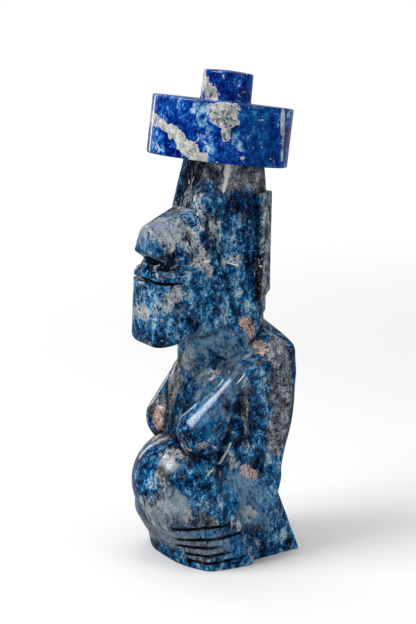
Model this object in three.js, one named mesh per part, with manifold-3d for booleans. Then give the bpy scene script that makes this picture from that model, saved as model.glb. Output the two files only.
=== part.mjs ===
import * as THREE from 'three';
import { mergeVertices } from 'three/addons/utils/BufferGeometryUtils.js';
import Module from 'manifold-3d';

const wasm = await Module();
wasm.setup();

// Sizes in millimetres and degrees, each one written once
const figureHeight = 162.4;
const headLean = 7.5;
const hatDiameter = 57;
const hatThickness = 23.7;
const hatEdgeRound = 0.9;
const hatForward = 4.3;
const knobTopDiameter = 20;
const knobFootDiameter = 20.6;
const knobHeight = 12.5;
const knobBackward = 1;
const knobCrown = 0.7;
const seatGap = 0.3;
const grooveWidth = 1.5;
const grooveDepth = 1.4;
const fingersPerHand = 4;
const facetSize = 3.5;
const hatSegments = 64;

// The carving is laid out on a figure 99 units high, ground to the middle of the head top
const unitsHigh = 99;
const unit = figureHeight / unitsHigh;
const lean = THREE.MathUtils.degToRad(headLean);

// Blends of two distances, rounded over a width k
function join(a, b, k) {
  const h = Math.max(k - Math.abs(a - b), 0) / k;
  return Math.min(a, b) - h * h * k / 4;
}

// Extra depth along the line where two forms meet
function valley(a, b, wide, deep) {
  const near = Math.max(1 - Math.abs(a - b) / wide, 0);
  return deep * near * near;
}

function trim(a, b, k) {
  return -join(-a, -b, k);
}

// Smooth line through keyed values, slopes taken from the neighbours
function curve(keys) {
  const n = keys.length;
  const slope = keys.map((key, i) => {
    const lo = keys[Math.max(i - 1, 0)];
    const hi = keys[Math.min(i + 1, n - 1)];
    if (i === 0 || i === n - 1) return (hi[1] - lo[1]) / (hi[0] - lo[0]);
    const before = (key[1] - lo[1]) / (key[0] - lo[0]);
    const after = (hi[1] - key[1]) / (hi[0] - key[0]);
    const wb = key[0] - lo[0];
    const wa = hi[0] - key[0];
    return (before * wa + after * wb) / (wa + wb);
  });
  return (v) => {
    const t = Math.min(Math.max(v, keys[0][0]), keys[n - 1][0]);
    let i = 0;
    while (i < n - 2 && t >= keys[i + 1][0]) i++;
    const h = keys[i + 1][0] - keys[i][0];
    const s = (t - keys[i][0]) / h;
    const s2 = s * s;
    const s3 = s2 * s;
    return (2 * s3 - 3 * s2 + 1) * keys[i][1] + (s3 - 2 * s2 + s) * h * slope[i]
      + (3 * s2 - 2 * s3) * keys[i + 1][1] + (s3 - s2) * h * slope[i + 1];
  };
}

// Flat cut through a point, facing along a direction
function flat(point, facing) {
  const n = new THREE.Vector3(...facing).normalize();
  return (a, y, z) => (a - point[0]) * n.x + (y - point[1]) * n.y + (z - point[2]) * n.z;
}

// Flat cut seen edge-on from the side, solid below the line from p to q
function edge(p, q) {
  const dy = q[0] - p[0];
  const dz = q[1] - p[1];
  const len = Math.hypot(dy, dz);
  return (y, z) => (dy * (z - p[1]) - dz * (y - p[0])) / len;
}

// Limb between two points, its radius changing from ra to rb
function limb(p, q, ra, rb) {
  const d = [q[0] - p[0], q[1] - p[1], q[2] - p[2]];
  const len2 = d[0] * d[0] + d[1] * d[1] + d[2] * d[2];
  return (a, y, z) => {
    const v = [a - p[0], y - p[1], z - p[2]];
    const t = Math.min(Math.max((v[0] * d[0] + v[1] * d[1] + v[2] * d[2]) / len2, 0), 1);
    return Math.hypot(v[0] - t * d[0], v[1] - t * d[1], v[2] - t * d[2]) - (ra + (rb - ra) * t);
  };
}

function chain(points, radii) {
  const limbs = [];
  for (let i = 0; i < points.length - 1; i++) {
    limbs.push(limb(points[i], points[i + 1], radii[i], radii[i + 1]));
  }
  return (a, y, z) => Math.min(...limbs.map((part) => part(a, y, z)));
}

// Board between two points of the side view
function board(p, q, ra, rb) {
  const part = limb([0, ...p], [0, ...q], ra, rb);
  return (y, z) => part(0, y, z);
}

// Head, carved in planes
const jawLine = edge([-22, 54.9], [4, 60.9]);
const panelWidth = curve([[50, 9.2], [70, 9.1], [80, 8.9], [90, 8.2], [101, 6.4]]);
const slabFront = 3.9;
const slabFoot = edge([-2, 61.5], [8, 67]);
const cheekLine = edge([-1.9, 60.8], [-11.1, 87.47]);
const noseSide = flat([3.1, -22.7, 83], [0.863, -0.409, 0.297]);
const noseTop = edge([-21.5, 84.9], [-11.2, 88.5]);
const noseUnder = edge([-23.4, 77.9], [-14, 72.1]);
const jawTop = edge([-24, 74.6], [-8, 80.5]);
const hollowLine = [[0, -25, 74.4], [5, -24.3, 75.6], [8.9, -18.9, 75], [10.3, -13, 73.4]];
const hollow = chain(hollowLine, [2.1, 2.6, 2.1, 0.5]);
const lipLine = [[0, -21.3, 73], [4.6, -20.9, 72.7], [7.5, -18.2, 72.6], [8.7, -14.8, 72.6]];
const lipRoll = chain(lipLine, [1.9, 1.9, 1.7, 0.6]);
const lowerLipLine = [[0, -22.2, 70.4], [5, -21.7, 69.9], [7.9, -18.9, 70], [8.9, -16.4, 70.4]];
const lowerLip = chain(lowerLipLine, [1.1, 1.1, 1, 0.5]);

function headTop(y, z) {
  return (z - unitsHigh) * Math.cos(lean) + y * Math.sin(lean);
}

function head(a, y, z) {
  const jaw = jawLine(y, z);
  const side = (a - (panelWidth(z) + 0.12 * Math.min(y + 2, 0))) / 1.01;
  const brow = -(y + 11.6 - (z - 87.5) * 0.2) / 1.02;
  const nape = y - 8.1 + Math.max(z - 91, 0) * 0.12;
  const corner = trim(nape, a * 0.72 + y * 0.7 - 10.2, 0.6);
  let skull = trim(trim(side, brow, 1), corner, 0.6);
  skull = trim(skull, -jaw, 0.8);
  let slab = trim(a - 9.4, y - 9 - 0.015 * (z - 91), 0.4);
  slab = trim(slab, a * 0.84 + y * 0.54 - 11 - 0.012 * (z - 80), 0.4);
  slab = trim(slab, trim(z - 92, slabFront - y, 0.3), 0.3);
  slab = trim(slab, -slabFoot(y, z), 0.3);
  skull = join(skull, slab, 0.25);

  const cheek = a - (8.7 + (y + 21.5) * 0.045);
  const bridge = -(y + 23.5 - (z - 78.6) * 0.13) / 1.01;
  let nose = trim(trim(noseSide(a, y, z), noseTop(y, z), 2), trim(bridge, -noseUnder(y, z), 0.7), 0.9);
  nose = trim(nose, cheek, 1);
  let chin = trim(cheek, -(y + 22.8 + 0.05 * (70 - z)), 4.2);
  chin = trim(chin, -jaw, 3);
  chin = trim(chin, jawTop(y, z), 1);
  let face = trim(join(nose, chin, 1), -cheekLine(y, z), 0.5);
  face = trim(face, -hollow(a, y, z), 0.5);
  face = join(face, trim(lipRoll(a, y, z), cheek - 0.3, 0.8), 0.4);
  face = join(face, trim(lowerLip(a, y, z), cheek - 0.3, 0.4), 0.3);
  return join(skull, face, 0.25);
}

// Body: neck, chest, belly, lap under the hands, arms and plinth
const backLine = curve([[0, 5.2], [15.4, 5.4], [24.7, 7.7], [35.3, 10.9], [47.5, 12], [60, 12.1]]);
const shoulderOuter = flat([15.6, 12, 54.6], [0.5, -0.36, 0.79]);
const shoulderInner = flat([0, 10, 59.2], [0.22, 0.38, 0.9]);
const chestFront = curve([[20, -15], [30, -16.3], [37, -15], [45, -12.4], [50, -9.6], [56, -5.5]]);
const chestWidth = curve([[20, 15.2], [35, 15.4], [50, 15], [58, 14.2]]);
const chestBack = 3;
const breastDrop = limb([8, -10.6, 34], [13.2, -1.4, 50], 7, 2.6);
const bellyCentre = [-10.6, 19.2];
const bellySize = [15.3, 14.2, 13.4];
const lapWidth = curve([[0, 15.3], [8, 16.1], [16, 16.3]]);
const lapDepth = curve([[0, 13.4], [3, 13.7], [6, 15.7], [12, 18.7], [16, 19.7]]);
const lapTop = edge([-22, 12.5], [0, 27]);
const forearmBack = edge([-2.9, 0], [6.2, 19]);
const upperArm = board([4.3, 48], [1, 34], 6.7, 7.5);
const elbow = board([1, 34], [-1.9, 21], 7.5, 8.1);
const forearm = board([-1.9, 21], [-5.5, 4], 8.1, 8.5);
const armReach = curve([[0, 15.1], [10, 16], [20, 16.5], [40, 16.5], [52, 16.2]]);
const plinthBack = edge([15.5, 0], [5.6, 23]);

function belly(a, y, z) {
  const p = [a / bellySize[0], (y - bellyCentre[0]) / bellySize[1], (z - bellyCentre[1]) / bellySize[2]];
  const g = [p[0] / bellySize[0], p[1] / bellySize[1], p[2] / bellySize[2]];
  const k0 = Math.hypot(...p);
  return k0 * (k0 - 1) / Math.max(Math.hypot(...g), 1e-6);
}

function torso(a, y, z, back, shoulder) {
  const reach = chestBack - chestFront(z);
  const round = (a / chestWidth(z)) ** 2.8 + (Math.max(chestBack - y, 0) / reach) ** 2.8;
  let chest = ((round + 1e-9) ** (1 / 2.8) - 1) * 11;
  chest = trim(chest, y - back, 1.4);
  chest = trim(chest, shoulder, 1.6);
  return trim(chest, 15 - z, 3);
}

function lap(a, y, z, back, wrist) {
  const round = (a / lapWidth(z)) ** 3 + (Math.max(-4 - y, 0) / lapDepth(z)) ** 3;
  let block = ((round + 1e-9) ** (1 / 3) - 1) * 14;
  block = trim(block, lapTop(y, z), 3);
  block = trim(block, z - 24, 4);
  block = trim(block, y - back, 1);
  return trim(block, wrist, 0.5);
}

function arm(a, y, z, back, wrist, shoulder) {
  let side = join(join(upperArm(y, z), elbow(y, z), 1), forearm(y, z), 1);
  side = trim(side, a - armReach(z), 1.6);
  side = trim(side, wrist, 0.5);
  side = trim(side, y - back, 1.4);
  side = trim(side, shoulder, 1.6);
  return trim(side, 8 - a, 1);
}

function plinth(a, y, z) {
  let foot = trim(a - (14 - 0.16 * (y + 2)), -plinthBack(y, z), 0.4);
  foot = trim(foot, -5 - y, 1);
  return trim(foot, z - 26, 1);
}

function body(a, y, z) {
  const back = backLine(z);
  const shoulder = trim(shoulderOuter(a, y, z), shoulderInner(a, y, z), 2);
  const wrist = -forearmBack(y, z);
  let neck = (Math.hypot(a / 9.2, (y + 1.4) / 11.3) - 1) * 9.6;
  neck = trim(trim(neck, 40 - z, 2), z - 62, 1);
  const chest = torso(a, y, z, back, shoulder);
  let form = join(chest, neck, 0.9) + valley(chest, neck, 1.2, 0.3);
  const breast = trim(breastDrop(a, y, z), shoulder - 0.6, 1.2);
  form = join(form, breast, 1) + valley(form, breast, 1.6, 0.45);
  const front = join(belly(a, y, z), lap(a, y, z, back, wrist), 3);
  form = join(form, front, 1.6) + valley(form, front, 1.2, 0.25);
  const soft = 1.4 + 3 * Math.min(Math.max((18 - z) / 12, 0), 1);
  form = join(form, arm(a, y, z, back, wrist, shoulder), soft);
  return join(form, plinth(a, y, z), 0.25);
}

function figureField(x, y, z) {
  const a = Math.abs(x);
  return join(body(a, y, z), head(a, y, z), 0.3);
}

// Grid lines, closer together inside a finer band
function gridLines(from, to, step, bands) {
  const lines = [from];
  while (lines[lines.length - 1] < to) {
    const at = lines[lines.length - 1];
    const band = bands.find((b) => at >= b[0] && at < b[1]);
    lines.push(at + (band ? step * band[2] : step));
  }
  return lines;
}

function slopeOf(x, y, z) {
  const e = 0.02;
  const g = new THREE.Vector3(
    figureField(x + e, y, z) - figureField(x - e, y, z),
    figureField(x, y + e, z) - figureField(x, y - e, z),
    figureField(x, y, z + e) - figureField(x, y, z - e),
  );
  return g.normalize();
}

// Point of a cell that best meets all the surfaces crossing its edges
function cellPoint(hits, lo, hi) {
  const centre = new THREE.Vector3();
  hits.forEach((hit) => centre.addScaledVector(hit.point, 1 / hits.length));
  const weight = 0.06;
  const m = [weight, 0, 0, 0, weight, 0, 0, 0, weight];
  const r = new THREE.Vector3();
  hits.forEach(({ point, normal }) => {
    const n = [normal.x, normal.y, normal.z];
    const off = new THREE.Vector3().subVectors(point, centre).dot(normal);
    for (let i = 0; i < 3; i++) {
      for (let j = 0; j < 3; j++) m[i * 3 + j] += n[i] * n[j];
    }
    r.addScaledVector(normal, off);
  });
  r.applyMatrix3(new THREE.Matrix3().set(...m).invert());
  return centre.add(r).clamp(lo, hi);
}

// Number of edges where more than two faces meet
function crowdedEdges(faces) {
  const uses = new Map();
  for (let f = 0; f < faces.length; f += 3) {
    for (let e = 0; e < 3; e++) {
      const a = faces[f + e];
      const b = faces[f + (e + 1) % 3];
      const key = `${Math.min(a, b)}_${Math.max(a, b)}`;
      uses.set(key, (uses.get(key) ?? 0) + 1);
    }
  }
  return [...uses.values()].filter((n) => n !== 2).length;
}

// Closed faceted skin of the figure's form, its grid raised by a share of one step
function figureSkin(shift) {
  const step = facetSize / unit;
  const half = [step / 2];
  while (half[half.length - 1] < 17.5) half.push(half[half.length - 1] + step);
  const xs = [...half.map((v) => -v).reverse(), ...half];
  const ys = gridLines(-27, 16.5, step, [[-3, 1.5, 1.2], [1.5, 6, 0.72], [6, 17, 1.2]]);
  const zs = gridLines(-2.5 - shift * step, unitsHigh + 5, step, [[-3, 62, 1.12], [70, 78.5, 0.5]]);
  const [nx, ny, nz] = [xs.length, ys.length, zs.length];
  const at = (i, j, k) => (i * ny + j) * nz + k;
  const values = new Float64Array(nx * ny * nz);
  for (let i = 0; i < nx; i++) {
    for (let j = 0; j < ny; j++) {
      for (let k = 0; k < nz; k++) {
        const form = figureField(xs[i], ys[j], zs[k]);
        const ends = Math.max(headTop(ys[j], zs[k]) - 1.1, -1.1 - zs[k]);
        values[at(i, j, k)] = Math.max(form, ends) + 1e-7;
      }
    }
  }
  const crossings = new Map();
  function crossing(p, q) {
    const key = at(...p) * nx * ny * nz + at(...q);
    if (crossings.has(key)) return crossings.get(key);
    const a = new THREE.Vector3(xs[p[0]], ys[p[1]], zs[p[2]]);
    const b = new THREE.Vector3(xs[q[0]], ys[q[1]], zs[q[2]]);
    const ends = (v) => Math.max(headTop(v.y, v.z) - 1.1, -1.1 - v.z);
    const value = (v) => Math.max(figureField(v.x, v.y, v.z), ends(v));
    const insideFirst = values[at(...p)] < 0;
    const point = new THREE.Vector3();
    for (let n = 0; n < 14; n++) {
      point.addVectors(a, b).multiplyScalar(0.5);
      if ((value(point) < 0) === insideFirst) a.copy(point);
      else b.copy(point);
    }
    const normal = slopeOf(point.x, point.y, point.z);
    if (headTop(point.y, point.z) - 1.1 > -0.01) normal.set(0, Math.sin(lean), Math.cos(lean));
    if (-1.1 - point.z > -0.01) normal.set(0, 0, -1);
    const hit = { point, normal };
    crossings.set(key, hit);
    return hit;
  }
  const corners = [];
  for (let c = 0; c < 8; c++) corners.push([c & 1, (c >> 1) & 1, (c >> 2) & 1]);
  const edges = [];
  corners.forEach((p) => {
    [0, 1, 2].forEach((axis) => {
      if (p[axis] === 0) edges.push([p, p.map((v, n) => (n === axis ? 1 : v))]);
    });
  });
  const positions = [];
  const cellIndex = new Map();
  function cellVertex(i, j, k) {
    const key = at(i, j, k);
    if (cellIndex.has(key)) return cellIndex.get(key);
    const hits = [];
    edges.forEach(([p, q]) => {
      const u = [i + p[0], j + p[1], k + p[2]];
      const v = [i + q[0], j + q[1], k + q[2]];
      if ((values[at(...u)] < 0) !== (values[at(...v)] < 0)) hits.push(crossing(u, v));
    });
    const lo = new THREE.Vector3(xs[i], ys[j], zs[k]);
    const hi = new THREE.Vector3(xs[i + 1], ys[j + 1], zs[k + 1]);
    const point = cellPoint(hits, lo, hi);
    cellIndex.set(key, positions.length / 3);
    positions.push(point.x * unit, point.y * unit, point.z * unit);
    return positions.length / 3 - 1;
  }
  const faces = [];
  const size = [nx, ny, nz];
  for (let axis = 0; axis < 3; axis++) {
    const b = (axis + 1) % 3;
    const c = (axis + 2) % 3;
    const step3 = (n, on) => (n === on ? 1 : 0);
    for (let i = 0; i < nx; i++) {
      for (let j = 0; j < ny; j++) {
        for (let k = 0; k < nz; k++) {
          const p = [i, j, k];
          if (p[axis] + 1 >= size[axis] || p[b] < 1 || p[c] < 1) continue;
          const q = p.map((v, n) => v + step3(n, axis));
          const inside = values[at(...p)] < 0;
          if (inside === (values[at(...q)] < 0)) continue;
          const cell = (db, dc) => cellVertex(...p.map((v, n) => v - step3(n, b) * db - step3(n, c) * dc));
          let ring = [cell(1, 1), cell(0, 1), cell(0, 0), cell(1, 0)];
          if (!inside) ring = ring.reverse();
          const spot = (n) => new THREE.Vector3().fromArray(positions, ring[n] * 3).divideScalar(unit);
          const miss = (m, n) => {
            const mid = spot(m).add(spot(n)).multiplyScalar(0.5);
            return Math.abs(figureField(mid.x, mid.y, mid.z));
          };
          if (miss(0, 2) <= miss(1, 3)) faces.push(ring[0], ring[1], ring[2], ring[0], ring[2], ring[3]);
          else faces.push(ring[1], ring[2], ring[3], ring[1], ring[3], ring[0]);
        }
      }
    }
  }
  const geometry = new THREE.BufferGeometry();
  geometry.setAttribute('position', new THREE.Float32BufferAttribute(positions, 3));
  geometry.setIndex(faces);
  return crowdedEdges(faces) > 0 && shift < 0.9 ? figureSkin(shift + 0.07) : geometry;
}

// Joining and cutting of closed forms
function solidOf(geometry) {
  const bare = geometry.clone();
  ['normal', 'uv'].forEach((name) => bare.deleteAttribute(name));
  const merged = mergeVertices(bare, 1e-4);
  const mesh = new wasm.Mesh({
    numProp: 3,
    vertProperties: new Float32Array(merged.attributes.position.array),
    triVerts: new Uint32Array(merged.index.array),
  });
  return new wasm.Manifold(mesh);
}

function geometryOf(solid) {
  const mesh = solid.getMesh();
  const geometry = new THREE.BufferGeometry();
  const points = new Float32Array(mesh.vertProperties);
  geometry.setAttribute('position', new THREE.BufferAttribute(points, 3));
  geometry.setIndex(new THREE.BufferAttribute(new Uint32Array(mesh.triVerts), 1));
  geometry.computeVertexNormals();
  return geometry;
}

// Grooves, cut as V shapes that follow the surface
function vCut(stations, side) {
  const positions = [];
  stations.forEach(({ at, out, deep, wide }) => {
    const lift = 1 / unit;
    const flare = Math.min(wide * (deep + lift) / deep, wide * 2);
    const rim = at.clone().addScaledVector(out, lift);
    const low = rim.clone().add(new THREE.Vector3(0, 0, -flare));
    const high = rim.clone().add(new THREE.Vector3(0, 0, flare));
    const apex = at.clone().addScaledVector(out, -deep);
    [low, high, apex].forEach((v) => positions.push(v.x * side * unit, v.y * unit, v.z * unit));
  });
  const faces = [0, 1, 2];
  const last = (stations.length - 1) * 3;
  for (let s = 0; s < last; s += 3) {
    for (let e = 0; e < 3; e++) {
      const a = s + e;
      const b = s + (e + 1) % 3;
      faces.push(a, a + 3, b, b, a + 3, b + 3);
    }
  }
  faces.push(last, last + 2, last + 1);
  if (side < 0) faces.reverse();
  const geometry = new THREE.BufferGeometry();
  geometry.setAttribute('position', new THREE.Float32BufferAttribute(positions, 3));
  geometry.setIndex(faces);
  return solidOf(geometry);
}

// Surface point met when looking inward from outside
function surfacePoint(from, inward) {
  const at = from.clone();
  for (let n = 0; n < 60; n++) at.addScaledVector(inward, figureField(at.x, at.y, at.z) * 0.8);
  return at;
}

// Finger grooves on the lap, the same on both hands, each running outward round the hand
const handCentre = -4;
const grooveInner = curve([[0, 1.7], [0.25, 3.6], [0.5, 5.7], [0.75, 7.6], [1, 10.4]]);
const grooveOuter = curve([[0, 2.8], [0.25, 4.7], [0.5, 6.5], [0.75, 9.3], [1, 12]]);
const fingertipTurn = curve([[0, 30.5], [0.25, 32.5], [0.5, 26.5], [0.75, 29], [1, 27.5]]);
const knuckleTurn = curve([[0, 92], [0.25, 80.5], [0.5, 69], [0.75, 88.5], [1, 76]]);

function fingerGroove(n, side) {
  const count = 9;
  const share = n / fingersPerHand;
  const stations = [];
  for (let s = 0; s <= count; s++) {
    const t = s / count;
    const turn = fingertipTurn(share) + (knuckleTurn(share) - fingertipTurn(share)) * t;
    const angle = THREE.MathUtils.degToRad(turn);
    const z = grooveInner(share) + (grooveOuter(share) - grooveInner(share)) * t;
    const inward = new THREE.Vector3(-Math.sin(angle), Math.cos(angle), 0);
    const at = surfacePoint(new THREE.Vector3(0, handCentre, z).addScaledVector(inward, -30), inward);
    const ease = Math.min(1, 0.05 + 3 * t, 0.05 + 3 * (1 - t));
    const deep = ease * grooveDepth / unit;
    const wide = (0.4 + 0.6 * ease) * grooveWidth / 2 / unit;
    stations.push({ at, out: slopeOf(at.x, at.y, at.z), deep, wide });
  }
  return vCut(stations, side);
}

// Mouth line, running round the jaw from cheek to cheek
const mouthHeight = 72;
const mouthTurn = 70;
const mouthOpening = 1.5;
const mouthDepth = 1.5;

function mouthLine() {
  const count = 14;
  const stations = [];
  for (let s = 0; s <= count; s++) {
    const t = 2 * s / count - 1;
    const angle = THREE.MathUtils.degToRad(mouthTurn) * t;
    const inward = new THREE.Vector3(-Math.sin(angle), Math.cos(angle), 0);
    const z = mouthHeight - 0.5 * Math.abs(t);
    const at = surfacePoint(new THREE.Vector3(0, -12, z).addScaledVector(inward, -14), inward);
    const ease = Math.min(1, 0.05 + 1.6 * (1 - Math.abs(t)));
    const out = inward.clone().negate();
    stations.push({ at, out, deep: ease * mouthDepth, wide: ease * mouthOpening / 2 });
  }
  return vCut(stations, 1);
}

function figure() {
  const size = figureHeight * 3;
  const ground = new THREE.BoxGeometry(size, size, size).translate(0, 0, -size / 2);
  const crown = new THREE.BoxGeometry(size, size, size).translate(0, 0, size / 2).rotateX(-lean)
    .translate(0, 0, figureHeight);
  let solid = solidOf(figureSkin(0)).subtract(solidOf(ground)).subtract(solidOf(crown));
  solid = solid.subtract(mouthLine());
  for (let n = 0; n <= fingersPerHand; n++) {
    [1, -1].forEach((side) => {
      solid = solid.subtract(fingerGroove(n, side));
    });
  }
  return geometryOf(solid);
}

// Hat: a flat round disc with a knob, each turned about the leaning axis, set down on the head top
function turned(outline, back) {
  const profile = outline.map(([x, y]) => new THREE.Vector2(x, y));
  const round = new THREE.LatheGeometry(profile, hatSegments).rotateX(Math.PI / 2);
  return solidOf(round.translate(0, back, 0));
}

function hat() {
  const r = hatDiameter / 2;
  const e = hatEdgeRound;
  const top = hatThickness + knobHeight;
  const kt = knobTopDiameter / 2;
  const kf = knobFootDiameter / 2;
  const disc = [[0, 0], [r - e, 0], [r - e * 0.3, e * 0.3], [r, e], [r, hatThickness - e]];
  disc.push([r - e * 0.3, hatThickness - e * 0.3], [r - e, hatThickness], [0, hatThickness]);
  const knob = [[0, hatThickness / 2], [kf, hatThickness / 2], [kf, hatThickness]];
  knob.push([kt, top - knobCrown - e * 0.6], [kt - e * 0.6, top - knobCrown]);
  knob.push([kt * 0.6, top - knobCrown * 0.36], [0, top]);
  const whole = turned(disc, 0).add(turned(knob, knobBackward));
  const geometry = geometryOf(whole);
  return geometry.translate(0, -hatForward, seatGap).rotateX(-lean).translate(0, 0, figureHeight);
}

const figureGeometry = figure();
const hatGeometry = hat();

// Origin on the ground under the middle of the whole piece
figureGeometry.computeBoundingBox();
hatGeometry.computeBoundingBox();
const bounds = figureGeometry.boundingBox.clone().union(hatGeometry.boundingBox);
const middle = (bounds.min.y + bounds.max.y) / 2;
const group = new THREE.Group();
group.name = 'moai_statue';
const pieces = [
  { name: 'moai_figure', geometry: figureGeometry, color: 0x35588a },
  { name: 'topknot_hat', geometry: hatGeometry, color: 0x1f4a9c },
];
pieces.forEach(({ name, geometry, color }) => {
  geometry.translate(0, -middle, 0);
  const material = new THREE.MeshStandardMaterial({ color, roughness: 0.25, metalness: 0 });
  material.name = `${name}_stone`;
  const mesh = new THREE.Mesh(geometry, material);
  mesh.name = name;
  group.add(mesh);
});

export default group;
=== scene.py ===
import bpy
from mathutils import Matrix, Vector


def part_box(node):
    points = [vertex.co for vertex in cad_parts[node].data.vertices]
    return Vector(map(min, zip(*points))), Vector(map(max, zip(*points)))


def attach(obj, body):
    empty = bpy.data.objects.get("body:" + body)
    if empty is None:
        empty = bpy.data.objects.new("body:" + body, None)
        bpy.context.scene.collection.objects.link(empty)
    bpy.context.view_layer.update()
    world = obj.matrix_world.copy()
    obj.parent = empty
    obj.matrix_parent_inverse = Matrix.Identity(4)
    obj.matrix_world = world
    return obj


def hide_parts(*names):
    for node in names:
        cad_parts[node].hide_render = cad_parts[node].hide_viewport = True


bl_info = {
    "name": "Polished stone moai",
    "version": (1, 0, 0),
    "blender": (4, 5, 0),
    "location": "View3D > Sidebar > Moai",
    "description": "Carves, turns and polishes a blue stone figure with its topknot hat",
    "category": "Object",
}

from math import cos, pi, radians, sin

import bmesh
import bpy
import numpy as np
from bpy.props import FloatProperty, FloatVectorProperty, IntProperty, PointerProperty
from mathutils import Vector

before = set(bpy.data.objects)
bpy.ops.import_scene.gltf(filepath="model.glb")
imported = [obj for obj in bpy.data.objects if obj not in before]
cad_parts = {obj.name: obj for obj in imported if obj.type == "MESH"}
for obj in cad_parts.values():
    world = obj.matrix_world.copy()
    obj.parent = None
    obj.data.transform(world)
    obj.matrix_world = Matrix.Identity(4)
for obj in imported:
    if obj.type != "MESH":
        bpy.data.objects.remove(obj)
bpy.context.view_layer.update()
FIGURE_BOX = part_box("moai_figure")
HAT_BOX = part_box("topknot_hat")

MM = 0.001

# Carving units in the figure's height, and where the belly's front lies in them

UNITS_HIGH = 99.0
BELLY_FRONT = -24.8


# Sizes and colours a user would change

def length_setting(name, default, description):
    """A length in metres that a user can change."""
    return FloatProperty(name=name, description=description, default=default, unit="LENGTH")


def power_setting(name, default, description):
    return FloatProperty(name=name, description=description, default=default, unit="POWER")


def place_setting(name, default, description):
    return FloatVectorProperty(name=name, description=description, default=default, subtype="TRANSLATION")


class FigureSettings(bpy.types.PropertyGroup):
    height: length_setting("Height", 0.1624, "Ground to the middle of the head top")
    lean: FloatProperty(
        name="Lean", description="How far the head top tips back", default=radians(7.5), subtype="ANGLE")
    cell: length_setting("Carving cell", 0.0008, "Spacing of the carving grid")
    wobble: length_setting("Hand unevenness", 0.0001, "Depth of the slow unevenness left by hand polishing")
    groove_width: length_setting("Finger line width", 0.0015, "Width of the cuts between the fingers")
    groove_depth: length_setting("Finger line depth", 0.0014, "Depth of the cuts between the fingers")


class HatSettings(bpy.types.PropertyGroup):
    diameter: length_setting("Disc diameter", 0.057, "Width of the round disc")
    thickness: length_setting("Disc thickness", 0.0237, "Height of the round disc")
    edge_round: length_setting("Edge round", 0.0009, "Radius worn on the edges")
    forward: length_setting("Forward set", 0.0043, "Distance of the disc in front of the head's middle")
    gap: length_setting("Seat gap", 0.0003, "Glue line between head and hat")
    knob_top: length_setting("Knob top", 0.020, "Diameter of the knob's top")
    knob_foot: length_setting("Knob foot", 0.0206, "Diameter of the knob's foot")
    knob_height: length_setting("Knob height", 0.0125, "Height of the knob with its crown")
    knob_back: length_setting("Knob back set", 0.001, "Distance of the knob behind the disc's middle")
    crown: length_setting("Crown", 0.0007, "Rise of the knob's top")
    chip: length_setting("Chip depth", 0.0005, "Depth of the nicks along the edges")
    seed: IntProperty(name="Nick seed", description="Places the nicks", default=4)


class StageSettings(bpy.types.PropertyGroup):
    key: power_setting("Key light", 9.5, "Main soft light")
    rim: power_setting("Rim light", 0.8, "Narrow light from behind")
    fill: power_setting("Fill light", 1.5, "Soft light from the right")
    top: power_setting("Top light", 3.0, "Soft light from above")
    sky: FloatProperty(name="Surroundings", description="Light that comes from all round", default=0.5)
    back: FloatProperty(name="Back glow", description="Strength of what mirrors behind", default=0.3)
    dim: FloatProperty(name="Front glow", description="Strength of what mirrors in front", default=0.015)
    floor: FloatVectorProperty(
        name="Floor", description="Colour of the floor", default=(0.9, 0.9, 0.9), subtype="COLOR")
    camera: place_setting("Camera place", (0.6062, -0.3432, 0.240), "Where the camera stands")
    look: place_setting("Look point", (-0.0036, 0.0006, 0.1004), "Point in the middle of the picture")
    lens: FloatProperty(name="Lens", description="Focal length in millimetres", default=100.2)


# Node trees written as expressions

class Sock:
    """A socket that takes part in arithmetic."""

    def __init__(self, sheet, socket):
        self.sheet = sheet
        self.socket = socket

    def __add__(self, other):
        return self.sheet.maths("ADD", self, other)

    def __radd__(self, other):
        return self.sheet.maths("ADD", other, self)

    def __sub__(self, other):
        return self.sheet.maths("SUBTRACT", self, other)

    def __rsub__(self, other):
        return self.sheet.maths("SUBTRACT", other, self)

    def __mul__(self, other):
        return self.sheet.maths("MULTIPLY", self, other)

    def __rmul__(self, other):
        return self.sheet.maths("MULTIPLY", other, self)

    def clamp(self):
        """Held between 0 and 1."""
        return self.sheet.maths("ADD", self, 0.0, clamp=True)

    def most(self, other):
        """The larger of two values."""
        return self.sheet.maths("MAXIMUM", self, other)


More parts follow.
